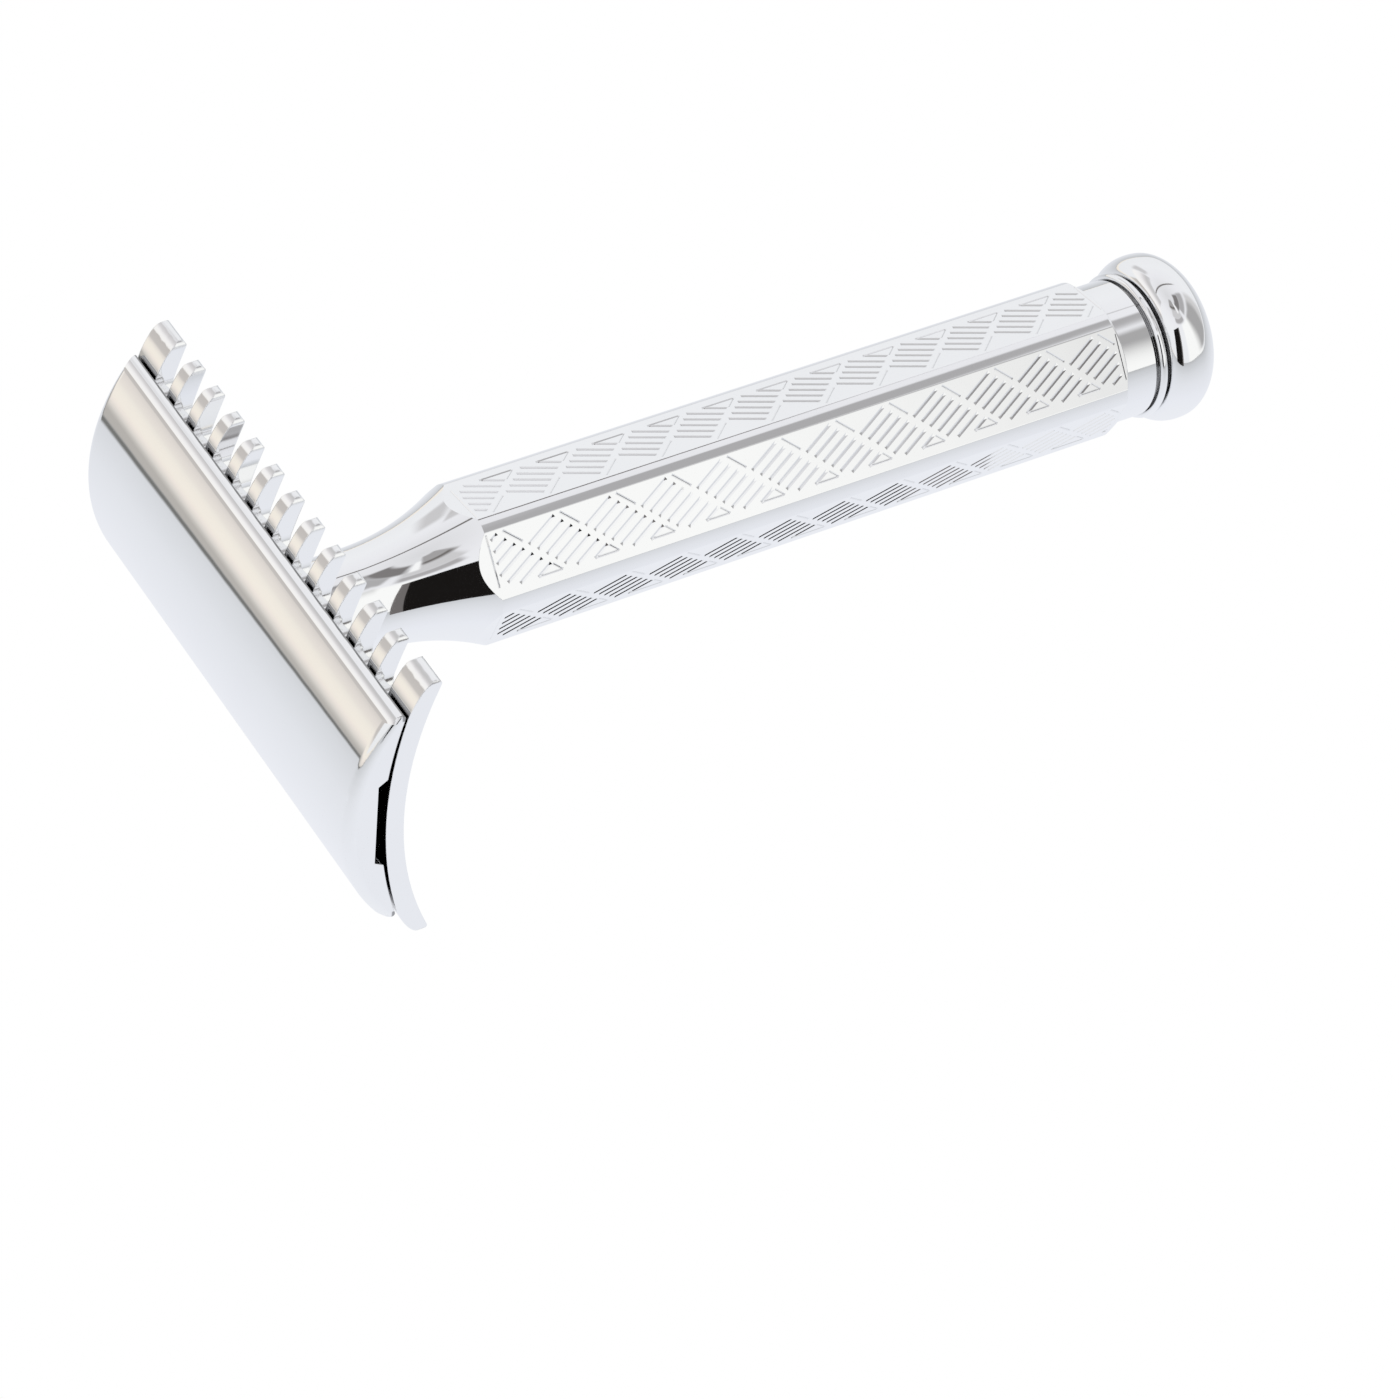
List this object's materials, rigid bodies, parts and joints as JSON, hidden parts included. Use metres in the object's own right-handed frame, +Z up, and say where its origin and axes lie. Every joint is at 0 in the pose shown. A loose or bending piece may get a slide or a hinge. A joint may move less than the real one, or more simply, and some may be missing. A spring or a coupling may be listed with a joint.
{
  "type": "safety razor",
  "caption": "Open-comb double-edge safety razor: crowned cap and toothed comb, shown without a blade, screw onto a slim hexagonal grip with a round end knob.",
  "frame": {"origin": "centre of the flat end face of the knob", "axes": "+X along the handle from the knob to the cap, Y along the blade edges, +Z up"},
  "size_m": [0.0846, 0.0418, 0.0246],
  "materials": {
    "grip_metal": "polished plating, engraved panels on the six flats",
    "head_metal": "polished plating",
    "stud_metal": "polished plating",
    "bush_metal": "machined"
  },
  "bodies": {
    "handle": {"hex_grip": "grip_metal", "thread_bush": "bush_metal", "knob_ring": "grip_metal", "end_knob": "grip_metal"},
    "guard": {"comb_plate": "head_metal"},
    "cap": {"top_cap": "head_metal", "cap_stud": "stud_metal", "pin_left": "stud_metal", "pin_right": "stud_metal"}
  },
  "joints": [
    {"name": "head_turn", "type": "hinge", "parent": "handle", "child": "guard", "pos_m": [0.07992, 0, 0], "axis": [1, 0, 0], "range_deg": [0, 2880]},
    {"name": "cap_lift", "type": "slide", "parent": "guard", "child": "cap", "axis": [1, 0, 0], "range_m": [0, 0.00641]}
  ],
  "couplings": [
    {"joint": "cap_lift", "follows": "head_turn", "m_per_rad": 0.00012732}
  ]
}
